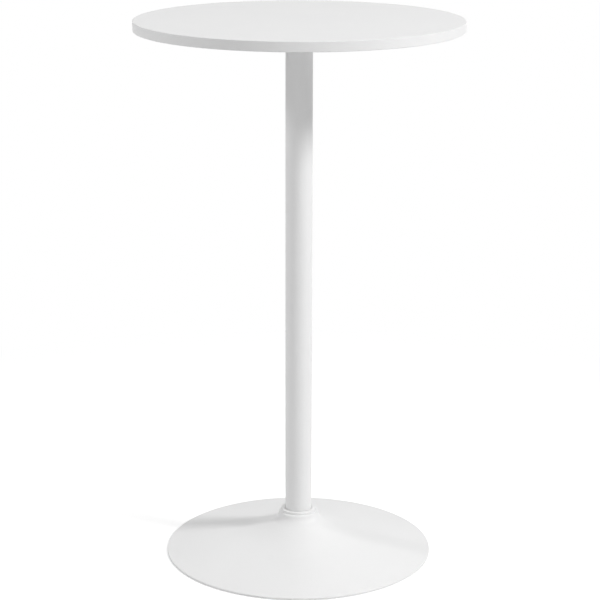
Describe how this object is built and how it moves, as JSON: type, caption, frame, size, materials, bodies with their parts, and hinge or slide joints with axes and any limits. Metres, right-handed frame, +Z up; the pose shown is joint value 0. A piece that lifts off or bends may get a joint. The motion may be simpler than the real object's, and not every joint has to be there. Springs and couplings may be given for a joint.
{
  "type": "bar table",
  "caption": "Bar-height table: thin round top on a straight round column over a trumpet-shaped round foot.",
  "frame": {"origin": "on the floor, under the middle of the column", "axes": "+Z up along the column; the round top and foot have no front, so +X and +Y run along the sides of the square plate under the top"},
  "size_m": [0.5999, 0.6, 1.02],
  "materials": {
    "white_laminate": "fibreboard core with a smooth matte white laminate face",
    "white_edge_band": "matte white plastic edging",
    "white_powder_coat": "matte white powder coat with a fine grain",
    "white_plastic": "satin white moulded plastic",
    "white_soft_plastic": "matte white soft plastic",
    "black_steel": "steel plate in black primer",
    "zinc_steel": "bright zinc plate"
  },
  "bodies": {
    "root": {"ballast_plate": "black_steel", "base_cover": "white_powder_coat", "bracket_nuts": "zinc_steel", "bracket_screws": "zinc_steel", "centre_bolt": "zinc_steel", "centre_bolt_spring_washer": "zinc_steel", "centre_bolt_washer": "zinc_steel", "column_foot_nut": "white_powder_coat", "column_foot_weld": "white_powder_coat", "column_top_weld": "white_powder_coat", "column_tube": "white_powder_coat", "cover_bracket_1": "black_steel", "cover_bracket_2": "black_steel", "cover_bracket_3": "black_steel", "cover_bracket_4": "black_steel", "rim_ring": "white_soft_plastic", "socket_gusset_1": "black_steel", "socket_gusset_2": "black_steel", "socket_gusset_3": "black_steel", "socket_gusset_4": "black_steel", "socket_seat_disc": "black_steel", "socket_seat_weld": "black_steel", "socket_tube": "black_steel", "socket_weld": "black_steel", "tabletop_board": "white_laminate", "tabletop_edge_band": "white_edge_band", "top_insert_nuts": "zinc_steel", "top_plate": "white_powder_coat", "top_plate_screws": "zinc_steel", "top_plate_washers": "zinc_steel", "trim_collar": "white_plastic"}
  },
  "joints": []
}
